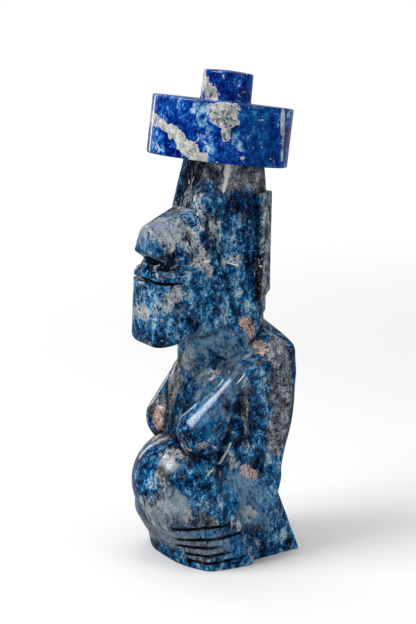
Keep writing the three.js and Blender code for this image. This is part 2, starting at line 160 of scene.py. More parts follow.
class Sheet:
    """A node tree that is added to by expression."""

    def __init__(self, tree):
        self.tree = tree

    def add(self, kind, settings=None, values=None, output=0):
        """Adds a node: first its settings, then the values or links of its sockets."""
        node = self.tree.nodes.new(kind)
        for name, value in (settings or {}).items():
            if name == "stops":
                self.set_stops(node.color_ramp, value)
            elif name == "items":
                while len(node.index_switch_items) < value:
                    node.index_switch_items.new()
            else:
                setattr(node, name, value)
        for key, value in (values or {}).items():
            if isinstance(value, Sock):
                self.tree.links.new(value.socket, node.inputs[key])
            else:
                node.inputs[key].default_value = value
        return None if output is None else Sock(self, node.outputs[output])

    @staticmethod
    def set_stops(ramp, stops):
        while len(ramp.elements) < len(stops):
            ramp.elements.new(0.5)
        for element, (place, colour) in zip(ramp.elements, stops):
            element.position = place
            element.color = (*colour, 1.0)

    def maths(self, operation, *values, clamp=False):
        settings = {"operation": operation, "use_clamp": clamp}
        return self.add("ShaderNodeMath", settings, dict(enumerate(values)))

    def vector(self, operation, *values, output=0):
        return self.add("ShaderNodeVectorMath", {"operation": operation}, dict(enumerate(values)), output)

    def scaled(self, vector, factor):
        return self.add("ShaderNodeVectorMath", {"operation": "SCALE"}, {0: vector, "Scale": factor})

    def length(self, vector):
        return self.vector("LENGTH", vector, output=1)

    def dot(self, a, b):
        return self.vector("DOT_PRODUCT", a, b, output=1)

    def join(self, x=0.0, y=0.0, z=0.0):
        """Vector of three parts."""
        return self.add("ShaderNodeCombineXYZ", None, {0: x, 1: y, 2: z})

    def split(self, vector):
        """The three parts of a vector."""
        node = self.add("ShaderNodeSeparateXYZ", None, {0: vector}).socket.node
        return [Sock(self, part) for part in node.outputs]

    def mix(self, factor, a, b):
        return self.add("ShaderNodeMix", {"data_type": "RGBA"}, {0: factor, 6: a, 7: b}, 2)

    def noise(self, vector, scale, detail, rough=0.55, twist=0.0, output=0):
        values = {"Scale": scale, "Detail": detail, "Roughness": rough, "Distortion": twist}
        return self.add("ShaderNodeTexNoise", None, {"Vector": vector, **values}, output)

    def step(self, value, low, high):
        """Smooth step from 0 at low to 1 at high."""
        settings = {"interpolation_type": "SMOOTHSTEP"}
        values = {"Value": value, "From Min": low, "From Max": high, "To Min": 0.0, "To Max": 1.0}
        return self.add("ShaderNodeMapRange", settings, values)


def srgb(r, g, b):
    """Colour as seen, 0 to 255, as the light that gives it."""
    def one(v):
        v /= 255
        return v / 12.92 if v <= 0.04045 else ((v + 0.055) / 1.055) ** 2.4
    return (one(r), one(g), one(b))


def rgba(r, g, b):
    """The same as a solid colour of a socket."""
    return (*srgb(r, g, b), 1.0)


# The form of the figure, in units of which its height holds 99

def blend(a, b, k):
    """Joins two forms, rounded over k."""
    h = np.maximum(k - np.abs(a - b), 0) / k
    return np.minimum(a, b) - h * h * k / 4


def trim(a, b, k):
    """Keeps what two forms share, rounded over k."""
    return -blend(-a, -b, k)


def valley(a, b, wide, deep):
    """Extra depth along the line where two forms meet."""
    return deep * np.maximum(1 - np.abs(a - b) / wide, 0)**2


def curve(v, keys):
    """Smooth line through keyed values."""
    xs, ys = np.array(keys, float).T
    slope = np.gradient(ys, xs)
    t = np.clip(v, xs[0], xs[-1])
    i = np.clip(np.searchsorted(xs, t, side="right") - 1, 0, len(xs) - 2)
    h = xs[i + 1] - xs[i]
    s = (t - xs[i]) / h
    return ((2 * s**3 - 3 * s**2 + 1) * ys[i] + (s**3 - 2 * s**2 + s) * h * slope[i]
            + (3 * s**2 - 2 * s**3) * ys[i + 1] + (s**3 - s**2) * h * slope[i + 1])


def flat(a, y, z, point, facing):
    """Flat cut through a point."""
    n = np.array(facing, float)
    n /= np.linalg.norm(n)
    return (a - point[0]) * n[0] + (y - point[1]) * n[1] + (z - point[2]) * n[2]


def edge(y, z, p, q):
    """Flat cut seen edge-on from the side, solid below the line from p to q."""
    dy, dz = q[0] - p[0], q[1] - p[1]
    return (dy * (z - p[1]) - dz * (y - p[0])) / np.hypot(dy, dz)


def limb(a, y, z, p, q, ra, rb):
    """Round limb from p to q."""
    d = np.array(q, float) - np.array(p, float)
    t = np.clip(((a - p[0]) * d[0] + (y - p[1]) * d[1] + (z - p[2]) * d[2]) / (d @ d), 0, 1)
    reach = np.sqrt((a - p[0] - t * d[0])**2 + (y - p[1] - t * d[1])**2 + (z - p[2] - t * d[2])**2)
    return reach - (ra + (rb - ra) * t)


def board(y, z, p, q, ra, rb):
    """Limb of the side view, carried straight through."""
    return limb(0 * y, y, z, (0, *p), (0, *q), ra, rb)


def chain(a, y, z, points, radii):
    """Limbs end to end."""
    form = limb(a, y, z, points[0], points[1], radii[0], radii[1])
    for i in range(1, len(points) - 1):
        form = np.minimum(form, limb(a, y, z, points[i], points[i + 1], radii[i], radii[i + 1]))
    return form


def egg(a, y, z, centre, radii):
    """Egg with its radii along the three axes."""
    p = [(v - c) / r for v, c, r in zip((a, y, z), centre, radii)]
    near = np.sqrt(p[0]**2 + p[1]**2 + p[2]**2)
    steep = np.sqrt(sum((v / r)**2 for v, r in zip(p, radii)))
    return near * (near - 1) / np.maximum(steep, 1e-6)


def round_front(a, y, wide, middle, deep, power, scale):
    """Upright form, wide to each side and deep to the front of its middle, square at high powers."""
    ahead = np.maximum(middle - y, 0) / deep
    return (((a / wide)**power + ahead**power + 1e-9)**(1 / power) - 1) * scale


# Lines of the face, each from its middle outward, and the front of the slab behind the ears

NOSE_HOLLOW = [(0, -25, 74.4), (5, -24.3, 75.6), (8.9, -18.9, 75), (10.3, -13, 73.4)]
LIP_LINE = [(0, -21.3, 73), (4.6, -20.9, 72.7), (7.5, -18.2, 72.6), (8.7, -14.8, 72.6)]
LOWER_LIP = [(0, -22.2, 70.4), (5, -21.7, 69.9), (7.9, -18.9, 70), (8.9, -16.4, 70.4)]
SLAB_FRONT = 3.9

# Middle that the lap is rounded about and the finger lines turn round

HAND_CENTRE = -4


def head(a, y, z):
    """Head, carved in planes."""
    jaw = edge(y, z, (-22, 54.9), (4, 60.9))
    width = curve(z, [(50, 9.2), (70, 9.1), (80, 8.9), (90, 8.2), (101, 6.4)])
    side = (a - (width + 0.12 * np.minimum(y + 2, 0))) / 1.01
    brow = -(y + 11.6 - (z - 87.5) * 0.2) / 1.02
    nape = y - 8.1 + np.maximum(z - 91, 0) * 0.12
    skull = trim(trim(side, brow, 1), trim(nape, a * 0.72 + y * 0.7 - 10.2, 0.6), 0.6)
    skull = trim(skull, -jaw, 0.8)
    slab = trim(a - 9.4, y - 9 - 0.015 * (z - 91), 0.4)
    slab = trim(slab, a * 0.84 + y * 0.54 - 11 - 0.012 * (z - 80), 0.4)
    slab = trim(slab, trim(z - 92, SLAB_FRONT - y, 0.3), 0.3)
    slab = trim(slab, -edge(y, z, (-2, 61.5), (8, 67)), 0.3)
    skull = blend(skull, slab, 0.25)
    cheek = a - (8.7 + (y + 21.5) * 0.045)
    bridge = -(y + 23.5 - (z - 78.6) * 0.13) / 1.01
    nose_side = flat(a, y, z, (3.1, -22.7, 83), (0.863, -0.409, 0.297))
    nose = trim(nose_side, edge(y, z, (-21.5, 84.9), (-11.2, 88.5)), 2)
    nose = trim(nose, trim(bridge, -edge(y, z, (-23.4, 77.9), (-14, 72.1)), 0.7), 0.9)
    nose = trim(nose, cheek, 1)
    chin = trim(cheek, -(y + 22.8 + 0.05 * (70 - z)), 4.2)
    chin = trim(chin, -jaw, 3)
    chin = trim(chin, edge(y, z, (-24, 74.6), (-8, 80.5)), 1)
    face = trim(blend(nose, chin, 1), -edge(y, z, (-1.9, 60.8), (-11.1, 87.47)), 0.5)
    face = trim(face, -chain(a, y, z, NOSE_HOLLOW, (2.1, 2.6, 2.1, 0.5)), 0.5)
    face = blend(face, trim(chain(a, y, z, LIP_LINE, (1.9, 1.9, 1.7, 0.6)), cheek - 0.3, 0.8), 0.4)
    lower = trim(chain(a, y, z, LOWER_LIP, (1.1, 1.1, 1, 0.5)), cheek - 0.3, 0.4)
    face = blend(face, lower, 0.3) + valley(face, lower, 0.9, 0.4)
    corner = np.clip((y + 15.6) / -4, 0, 1)
    gap = np.abs(z - 71.9 + 0.08 * np.minimum(a, 6)) - 0.32 * corner
    face = trim(face, -trim(gap, -face - 1.3 * corner, 0.1), 0.15)
    return blend(skull, face, 0.25)


def body(a, y, z):
    """Neck, chest, belly, lap, arms and plinth."""
    back = curve(z, [(0, 5.2), (15.4, 5.4), (24.7, 7.7), (35.3, 10.9), (47.5, 12), (60, 12.1)])
    shoulder = flat(a, y, z, (15.6, 12, 54.6), (0.5, -0.36, 0.79))
    shoulder = trim(shoulder, flat(a, y, z, (0, 10, 59.2), (0.22, 0.38, 0.9)), 2)
    wrist = -edge(y, z, (-2.9, 0), (6.2, 19))
    neck = (np.hypot(a / 9.2, (y + 1.4) / 11.3) - 1) * 9.6
    neck = trim(trim(neck, 40 - z, 2), z - 62, 1)
    front = curve(z, [(20, -15), (30, -16.3), (37, -15), (45, -12.4), (50, -9.6), (56, -5.5)])
    width = curve(z, [(20, 15.2), (35, 15.4), (50, 15), (58, 14.2)])
    chest = round_front(a, y, width, 3, 3 - front, 2.8, 11)
    chest = trim(trim(trim(chest, y - back, 1.4), shoulder, 1.6), 15 - z, 3)
    breast = limb(a, y, z, (8, -10.6, 34), (13.2, -1.4, 50), 7, 2.6)
    breast = trim(breast, shoulder - 0.6, 1.2)
    belly = egg(a, y, z, (0, -10.6, 19.2), (15.3, 14.2, 13.4))
    wide = curve(z, [(0, 15.3), (8, 16.1), (16, 16.3)])
    deep = curve(z, [(0, 13.4), (3, 13.7), (6, 15.7), (12, 18.7), (16, 19.7)])
    lap = round_front(a, y, wide, HAND_CENTRE, deep, 3, 14)
    lap = trim(trim(lap, edge(y, z, (-22, 12.5), (0, 27)), 3), z - 24, 4)
    lap = trim(trim(lap, y - back, 1), wrist, 0.5)
    arm = blend(board(y, z, (4.3, 48), (1, 34), 6.7, 7.5), board(y, z, (1, 34), (-1.9, 21), 7.5, 8.1), 1)
    arm = blend(arm, board(y, z, (-1.9, 21), (-5.5, 4), 8.1, 8.5), 1)
    arm = trim(arm, a - curve(z, [(0, 15.1), (10, 16), (20, 16.5), (40, 16.5), (52, 16.2)]), 1.6)
    arm = trim(trim(trim(trim(arm, wrist, 0.5), y - back, 1.4), shoulder, 1.6), 8 - a, 1)
    foot = trim(a - (14 - 0.16 * (y + 2)), -edge(y, z, (15.5, 0), (5.6, 23)), 0.4)
    foot = trim(trim(foot, -5 - y, 1), z - 26, 1)
    form = blend(chest, neck, 0.9) + valley(chest, neck, 1.2, 0.3)
    form = blend(form, breast, 1) + valley(form, breast, 1.6, 0.45)
    paunch = blend(belly, lap, 3)
    form = blend(form, paunch, 1.6) + valley(form, paunch, 1.2, 0.25)
    form = blend(form, arm, 1.4 + 3 * np.clip((18 - z) / 12, 0, 1))
    return blend(form, foot, 0.25)


# Finger lines from the lowest up: heights at the fingertips and the knuckles, and turns in degrees

GROOVE_INNER = (1.7, 3.6, 5.7, 7.6, 10.4)
GROOVE_OUTER = (2.8, 4.7, 6.5, 9.3, 12.0)
FINGERTIP_TURN = (30.5, 32.5, 26.5, 29, 27.5)
KNUCKLE_TURN = (92, 80.5, 69, 88.5, 76)


def finger_lines(a, y, z, wide, deep):
    """Saw cuts between the fingers, as extra depth round the front of the lap."""
    turn = np.degrees(np.arctan2(a, HAND_CENTRE - y))
    cut = np.zeros_like(a)
    for inner, outer, start, end in zip(GROOVE_INNER, GROOVE_OUTER, FINGERTIP_TURN, KNUCKLE_TURN):
        t = (turn - start) / (end - start)
        middle = inner + (outer - inner) * np.clip(t, 0, 1)
        fade = np.clip(np.minimum(8 * t, 5 * (1 - t)), 0, 1) ** 0.5
        off = np.abs(z - middle) / (wide / 2)
        cut = np.maximum(cut, deep * fade * np.maximum(1 - off * off, 0) ** 0.6)
    return cut


def hand_wobble(x, y, z):
    """Slow unevenness of hand polishing, between 0 and 1."""
    waves = [(0.31, 0.12, 0.22, 0.4), (-0.17, 0.34, 0.13, 1.9), (0.11, -0.21, 0.37, 3.1),
             (0.47, 0.29, -0.18, 0.9), (-0.33, 0.41, 0.36, 5.0), (0.58, -0.44, 0.51, 2.2)]
    return 0.5 + sum(np.sin(u * x + v * y + w * z + c) for u, v, w, c in waves) / 12


# Skin of a form: one point in each grid cell that the surface crosses

HALVINGS = 9
SLOPE_REACH = 0.01
HOLD = 0.08
SUMS = 13


def grid_lines(start, stop, step, bands=()):
    """Grid lines a step apart, closer in bands given as from, to and share of the step."""
    lines = [start]
    while lines[-1] < stop:
        scale = next((b[2] for b in bands if b[0] <= lines[-1] < b[1]), 1.0)
        lines.append(lines[-1] + step * scale)
    return np.array(lines)


def slopes(form, p):
    """Outward direction of the form at points."""
    g = np.empty_like(p)
    for n in range(3):
        d = np.zeros(3)
        d[n] = SLOPE_REACH
        g[:, n] = form(*(p + d).T) - form(*(p - d).T)
    return g / np.maximum(np.linalg.norm(g, axis=1, keepdims=True), 1e-12)


def crossings(form, p, q, before):
    """Where the surface lies between p and q, found by halving the way."""
    for _ in range(HALVINGS):
        middle = (p + q) / 2
        same = ((form(*middle.T) < 0) == (before < 0))[:, None]
        p = np.where(same, middle, p)
        q = np.where(same, q, middle)
    return (p + q) / 2


def plane_parts(hit, facing):
    """What the plane at each hit adds to the sums of a cell."""
    off = (facing * hit).sum(1)
    return np.concatenate([
        hit, np.ones((len(hit), 1)), facing[:, [0]] * facing, facing[:, [1]] * facing[:, 1:],
        facing[:, [2]] * facing[:, [2]], facing * off[:, None]], 1)


def nearest_points(sums):
    """Point of each cell nearest to its planes, held lightly to the middle of its hits."""
    centre = sums[:, :3] / sums[:, [3]]
    m = sums[:, [4, 5, 6, 5, 7, 8, 6, 8, 9]].reshape(-1, 3, 3)
    right = sums[:, 10:] - np.einsum("nij,nj->ni", m, centre)
    m += np.eye(3) * HOLD
    return centre + np.linalg.solve(m, right[:, :, None])[:, :, 0]


def skin(form, axes):
    """Closed mesh of the form on a grid: points and four-cornered faces."""
    values = np.empty(tuple(len(line) for line in axes))
    yy, zz = np.meshgrid(axes[1], axes[2], indexing="ij")
    for i, x in enumerate(axes[0]):
        values[i] = form(np.full_like(yy, x), yy, zz)
    cells = tuple(n - 1 for n in values.shape)
    total = cells[0] * cells[1] * cells[2]
    sums = np.zeros((total, SUMS))
    quads = []
    for axis in range(3):
        index = np.argwhere(np.diff(values < 0, axis=axis))
        ahead = index + np.eye(3, dtype=int)[axis]
        p = np.stack([line[at] for line, at in zip(axes, index.T)], 1)
        q = np.stack([line[at] for line, at in zip(axes, ahead.T)], 1)
        before = values[tuple(index.T)]
        hit = crossings(form, p, q, before)
        parts = plane_parts(hit, slopes(form, hit))
        around = []
        for back in ((1, 1), (0, 1), (0, 0), (1, 0)):
            cell = index.copy()
            cell[:, (axis + 1) % 3] -= back[0]
            cell[:, (axis + 2) % 3] -= back[1]
            around.append((cell[:, 0] * cells[1] + cell[:, 1]) * cells[2] + cell[:, 2])
            for k in range(SUMS):
                sums[:, k] += np.bincount(around[-1], parts[:, k], total)
        ring = np.stack(around, 1)
        ring[before >= 0] = ring[before >= 0][:, ::-1]
        quads.append(ring)
    used = np.flatnonzero(sums[:, 3] > 0)
    points = nearest_points(sums[used])
    for n, at in enumerate(np.unravel_index(used, cells)):
        points[:, n] = np.clip(points[:, n], axes[n][at], axes[n][at + 1])
    number = np.full(total, -1)
    number[used] = np.arange(len(used))
    return points, number[np.concatenate(quads)]


def mesh_object(name, points, faces):
    """Object in the scene from points and faces."""
    mesh = bpy.data.meshes.new(name)
    mesh.vertices.add(len(points))
    mesh.vertices.foreach_set("co", np.asarray(points, dtype=np.float32).ravel())
    mesh.loops.add(faces.size)
    mesh.loops.foreach_set("vertex_index", faces.astype(np.int32).ravel())
    mesh.polygons.add(len(faces))
    mesh.polygons.foreach_set("loop_start", np.arange(0, faces.size, faces.shape[1], dtype=np.int32))
    mesh.polygons.foreach_set("use_smooth", np.ones(len(faces), dtype=bool))
    mesh.update(calc_edges=True)
    mesh.validate()
    obj = bpy.data.objects.new(name, mesh)
    bpy.context.collection.objects.link(obj)
    return obj


# Stone: clouds and veins come to the surface here, each from a start to an end with a radius, in mm

FIGURE_CLOUDS = {
    "grey": [
        ((9, -4, 161), (12, 15, 158), 8.5),
        ((15, 18.5, 149), (15, 18, 108), 4.5),
        ((24, 18, 92), (27, 16, 50), 6),
        ((17, -26, 28), (8, -30, 20), 8),
        ((-4, -15, 76), (-8, -20, 62), 7),
        ((8, -12, 82), (15, -8, 76), 5),
        ((3, -30, 16), (25, -16, 9), 6),
        ((15, -7, 116), (15, -4, 104), 3),
        ((26.5, 1, 80), (27.4, 0, 52), 1.8),
        ((-10, -12, 82), (-18, -8, 76), 6),
        ((20, -23, 23), (25, -14, 21), 3.5),
        ((26, -16, 12), (27, -9, 10), 3),
        ((-14, -20, 62), (-10, -22, 66), 4),
        ((18, -25, 50), (24, -16, 52), 2.5),
        ((11, -28, 46), (14, -28.5, 33), 4),
    ],
    "pale": [
        ((-2, -30, 138), (9, -22, 135), 7),
        ((7, -23, 142), (14, -14, 130), 5.5),
        ((14, -16, 129), (15, -11, 123), 3.4),
        ((7, -11, 150), (13, -10, 140), 4),
        ((14, -6, 140), (14, -8, 134), 2.5),
        ((12, -29, 108), (14.5, -24, 113), 3.6),
        ((-4, -30.5, 104), (2, -31, 103), 4.5),
        ((15, -9, 120), (15, -10, 126), 2.5),
        ((15, -2, 124), (15, 3, 124), 2),
        ((15, 15, 141), (15, 14.5, 112), 1.6),
        ((5, -13, 86), (3, -13, 82), 3.5),
        ((8, -26.5, 46.5), (15, -20, 48), 3.5),
        ((9, -30, 43), (10, -31, 34), 1.2),
        ((27.5, -6, 47), (27.5, -5, 44), 3),
        ((27.5, 0, 24), (27.6, 3, 21), 3),
        ((2, -33, 25), (12, -30, 20), 4.5),
        ((13, -29, 27), (20, -23, 24), 4),
        ((14, -25, 34), (18, -24, 30), 2),
        ((25, -8, 22), (27, -3, 18), 2.4),
        ((4, -28, 58), (10, -25, 50), 1.8),
        ((18, 10, 88), (20, -16, 69), 0.9),
        ((4, -15, 84), (4, -14, 94), 1.5),
        ((8, -13, 78), (16, -6, 80), 1.4),
        ((-6, -23, 55), (-4, -21, 50), 2),
        ((24, 18, 14), (22, 22, 8), 2),
    ],
    "night": [
        ((3, -9.5, 162), (-3, -11.5, 147), 6.5),
        ((8, -8, 156), (8, -9, 152), 2),
        # painted shade: near-black along the back wall of the groove under the nose
        ((3, -30, 124), (12, -25, 123.5), 2.4),
        ((15, 14, 124), (15, 13, 108), 1.6),
    ],
    "calm": [
        ((9, -11, 92), (14, 2, 86), 10),
        ((8, -12, 80), (14, -9, 74), 5),
        ((22, -15, 63), (24, 1, 83), 7),
        ((17, -26, 27), (11, -29, 21), 8),
        ((22, -20, 14), (8, -29, 12), 6),
        ((26, -18, 12), (27.5, -6, 10), 7),
        ((27.5, -4, 36), (27.6, 6, 24), 9),
        ((-3, -31, 137), (5, -29, 130), 4),
        ((3, -28, 140), (9, -24, 137), 5),
    ],
    "deep": [
        ((13, -3, 147), (14, 9, 146), 4.5),
        ((14, 11, 142), (15, 12, 126), 4.5),
        ((14, -8, 144), (14, -9, 136), 2.2),
        ((14, -9, 130), (15, -5, 118), 3),
        ((14, -18, 128), (11, -23, 127), 2.6),
        # painted shade: darker blue along the back wall of the groove under the nose
        ((3, -31, 124), (13, -24, 123.5), 2.6),
        ((5, -24, 144), (11, -19, 138), 1.6),
        ((23, -10, 72), (21, -17, 57), 6.5),
        ((12, -20, 60), (17, -21, 54), 4),
        ((24, 2, 84), (26, -5, 74), 3),
        ((27, 5.5, 78), (27.5, 5.5, 44), 3),
        ((27, -1, 62), (27.5, -2, 48), 2),
        ((16, -26, 39), (23, -18, 34), 4),
        ((23.5, -8, 46), (23.5, -10, 40), 3.5),
        ((13, -23, 47), (20, -16, 46), 2.2),
        ((9, -26, 99), (-5, -28, 95), 4),
        ((26, 12, 38), (27, 14, 24), 3),
        ((7, -30, 44), (2, -33, 33), 4.5),
    ],
    "bright": [
        ((14, -19, 117), (14, -7, 104), 9),
        ((2, -30, 110), (12, -24, 98), 6),
        ((15, 3, 132), (15, 5, 112), 5),
        ((15, 8, 116), (15, 9, 104), 4),
        ((4, -31, 40), (2, -33.6, 30), 5),
        ((27.5, -3, 36), (27.6, 5, 26), 6.5),
        ((21, 17, 16), (19, 24, 3), 6),
        ((22, -17, 66), (23, -8, 75), 6),
        ((27, 17, 48), (27, 14, 30), 4),
        ((22, -14, 12), (27, -4, 6), 5),
        ((10, -10, 92), (14, 4, 90), 7),
        ((8, -12, 84), (14, -9, 76), 5),
        ((20, -22, 33), (25, -12, 27), 4),
    ],
    "pink": [
        ((14.5, 7, 99), (15, 11, 94), 3),
        ((16, 13, 90), (20, 12, 87), 2.6),
        ((-8, -21.5, 61), (-7, -22.5, 51), 3.6),
        ((27.4, 0, 41), (27.4, 4, 38.5), 2.6),
    ],
}
FIGURE_VEINS = [
    ((11.0, 1.2, 162), (11.4, 0.3, 158), 1.3),
    ((11.4, 0.3, 158), (12.1, -1.5, 152.5), 0.8),
    ((12.1, -1.5, 152.5), (12.5, -2.4, 149), 0.4),
    ((24.1, 5.1, 85.2), (25.4, -4.9, 73.5), 0.3),
    ((25.4, -4.9, 73.5), (24.3, -10.2, 65.7), 0.35),
    ((25.4, -5.3, 52.5), (23.1, -8.2, 44.5), 0.55),
    ((23.1, -8.2, 44.5), (22.9, -15, 39.6), 0.45),
    ((15.4, -11.5, 125.1), (14.6, 1.8, 122.6), 0.3),
    ((14.6, 1.8, 122.6), (15.4, 14.9, 121.2), 0.3),
    ((-3, -10.5, 162), (1, -10.4, 150), 0.3),
    ((4, -9.4, 162), (-1, -11, 148), 0.28),
]

HAT_CLOUDS = {
    "pale": [
        ((-10, -23, 182), (9, -22.6, 177), 2.4),
        ((9, -22.6, 177), (21.5, -16.5, 166), 2.9),
        ((24.5, -9.5, 184), (24.5, -6, 183), 5),
        ((23, -8, 187), (22, -1, 187), 2.6),
        ((25.3, -8.5, 178), (25.3, -7.5, 175), 1.8),
        ((-3.5, -2, 196), (6, -3, 189), 3),
        ((26, 18, 184), (25, 18.5, 176), 1.6),
        ((24.6, 19, 173), (24, 19, 165), 1.0),
        ((-12, -20, 186), (-10, -21, 180), 3),
        ((8, 9, 198), (6, 13, 197), 1.4),
    ],
    "azure": [
        ((26, -4, 178), (26, -2, 170), 2.6),
        ((20, -12, 186), (18, -16, 187), 2.4),
        ((19, -16, 182), (21, -13, 178), 2),
    ],
    "teal": [
        ((28.4, 5, 183), (28, 8, 166), 8),
    ],
}


def eased(t):
    """Smooth ends for a value between 0 and 1."""
    return t * t * (3 - 2 * t)


def mesh_points(mesh):
    """The points of a mesh, as rows."""
    at = np.empty(len(mesh.vertices) * 3, dtype=np.float32)
    mesh.vertices.foreach_get("co", at)
    return at.reshape(-1, 3)


def keep(mesh, name, values):
    """Keeps a value for each point on the mesh, which its stone reads by name."""
    cloud = mesh.attributes.new(name, "FLOAT", "POINT")
    cloud.data.foreach_set("value", values.astype(np.float32))


def mark_crease_shade(mesh, form, points):
    """Keeps how deep each point lies in a crease, as the mask of the painted shade: 0 on open ground, 1 in a
    cut.
    """
    away = slopes(form, points)
    depth = np.zeros(len(points))
    for reach in (0.5, 1.1, 2.2):
        depth += np.clip(1 - form(*(points + away * reach).T) / reach, 0, 1) / 3
    keep(mesh, "hollow", eased(np.clip((depth - 0.12) / 0.42, 0, 1)))


def mark_clouds(mesh, clouds):
    """Keeps soft clouds along their marks: 1 at the heart, 0 outside."""
    at = mesh_points(mesh).astype(float) / MM
    for name, marks in clouds.items():
        best = np.zeros(len(at))
        for start, end, radius in marks:
            start, ahead = np.array(start, float), np.subtract(end, start)
            along = np.clip((at - start) @ ahead / (ahead @ ahead), 0, 1)
            reach = np.linalg.norm(at - start - along[:, None] * ahead, axis=1)
            best = np.maximum(best, np.clip((1.5 - reach / radius) / 1.2, 0, 1))
        keep(mesh, name, eased(best))


def distance_to(sheet, place, start, end):
    """Distance from a line between two points."""
    ahead = Vector(end) - Vector(start)
    off = sheet.vector("SUBTRACT", place, tuple(start))
    along = sheet.dot(off, tuple(ahead / ahead.length_squared)).clamp()
    return sheet.length(sheet.vector("SUBTRACT", off, sheet.scaled(tuple(ahead), along)))


def veins(sheet, place, marks):
    """Thin veins along the marks, with clean edges."""
    total = None
    for start, end, radius in marks:
        vein = sheet.step(distance_to(sheet, place, start, end), radius * 1.25, radius * 0.7)
        total = vein if total is None else total.most(vein)
    return total


# Colours of the stones, from their darkest to their lightest grain

BLUE = [
    (0.0, srgb(0, 8, 24)), (0.2, srgb(0, 22, 48)), (0.36, srgb(0, 44, 82)), (0.5, srgb(4, 68, 114)),
    (0.58, srgb(12, 90, 142)), (0.7, srgb(34, 112, 162)), (0.8, srgb(90, 144, 174)),
    (1.0, srgb(156, 178, 192)),
]
MIST = [(0.0, srgb(44, 80, 108)), (0.5, srgb(94, 124, 146)), (1.0, srgb(156, 172, 182))]
NIGHT = [(0.0, srgb(0, 0, 6)), (0.5, srgb(3, 8, 26)), (0.8, srgb(18, 42, 74)), (1.0, srgb(70, 96, 120))]
GREY = [
    (0.0, srgb(4, 6, 12)), (0.3, srgb(42, 48, 58)), (0.55, srgb(86, 90, 96)),
    (0.75, srgb(130, 132, 135)), (1.0, srgb(182, 182, 180)),
]
PALE = [
    (0.0, srgb(44, 58, 70)), (0.3, srgb(104, 114, 122)), (0.55, srgb(150, 155, 158)),
    (0.8, srgb(182, 182, 180)), (1.0, srgb(208, 204, 198)),
]
PINK = [(0.0, srgb(92, 66, 58)), (0.45, srgb(176, 142, 128)), (1.0, srgb(222, 198, 186))]
ROYAL = [
    (0.0, srgb(0, 10, 70)), (0.25, srgb(0, 28, 104)), (0.5, srgb(4, 56, 140)), (0.72, srgb(20, 88, 166)),
    (0.88, srgb(70, 134, 186)), (1.0, srgb(170, 196, 212)),
]
TEAL = [(0.0, srgb(0, 28, 84)), (0.4, srgb(0, 52, 118)), (0.7, srgb(8, 84, 150)), (1.0, srgb(76, 138, 178))]
CREAM = [
    (0.0, srgb(48, 62, 78)), (0.25, srgb(100, 114, 124)), (0.5, srgb(150, 155, 155)),
    (0.75, srgb(186, 184, 178)), (1.0, srgb(220, 212, 200)),
]


class Surface(Sheet):
    """Material in the making, with places on the object in millimetres."""

    def __init__(self, name):
        self.material = bpy.data.materials.new(name)
        self.material.use_nodes = True
        super().__init__(self.material.node_tree)
        self.tree.nodes.clear()
        self.place = self.scaled(self.add("ShaderNodeTexCoord", output=3), 1 / MM)

    def finish(self, values):
        shader = self.add("ShaderNodeBsdfPrincipled", None, values)
        self.add("ShaderNodeOutputMaterial", None, {0: shader}, None)
        return self.material


class Stone(Surface):
    """Polished stone: a colour that patches are laid over."""

    def __init__(self, name, stretch):
        super().__init__(name)
        self.grain = self.vector("MULTIPLY", self.place, (1.0, 1.0, stretch))
        bend = self.vector("SUBTRACT", self.noise(self.place, 0.05, 2.0, output=1), (0.5, 0.5, 0.5))
        self.bent = self.vector("ADD", self.place, self.scaled(bend, 5.0))
        self.colour = None

    def cloud(self, name):
        """A cloud that is kept on the mesh."""
        return self.add("ShaderNodeAttribute", {"attribute_name": name}, output=2)

    def wave(self, scale, seed, detail, rough=0.6, twist=0.0, grained=True):
        """Noise about 0, its seed moving it to another part of the block."""
        spot = self.grain if grained else self.place
        spot = self.vector("ADD", spot, (seed * 37.0, seed * 11.0, seed * 23.0))
        return self.noise(spot, scale, detail, rough, twist) - 0.5

    def specks(self, scale, seed, low, high):
        """Scattered grains, rarer as low rises."""
        return self.step(self.wave(scale, seed, 3.0, 0.6, 0.0, False), low, high)

    def threads(self, scale, seed, width):
        """Thin branching lines, thicker here and thinner there."""
        line = self.maths("ABSOLUTE", self.wave(scale, seed, 7.0, 0.62, 1.0))
        swell = self.step(self.wave(scale * 0.7, seed + 30, 2.0), -0.05, 0.15) * width
        return self.step(line, swell, swell * 0.3)

    def ramp(self, value, stops):
        return self.add("ShaderNodeValToRGB", {"stops": stops}, {0: value})

    def lay(self, mask, colour):
        """Lays a colour over the stone where the mask is."""
        self.colour = colour if self.colour is None else self.mix(mask, self.colour, colour)

    def polish(self, rough, coat, relief, depth):
        """The finished material: a waxed polish over grains that stand slightly proud."""
        bump = self.add("ShaderNodeBump", None, {"Height": relief, "Strength": 0.35, "Distance": depth})
        return self.finish({
            "Base Color": self.colour, "Roughness": rough, "Normal": bump,
            "IOR": 1.5, "Specular IOR Level": 0.42, "Coat Weight": coat,
            "Coat Roughness": 0.1, "Coat IOR": 1.5,
        })


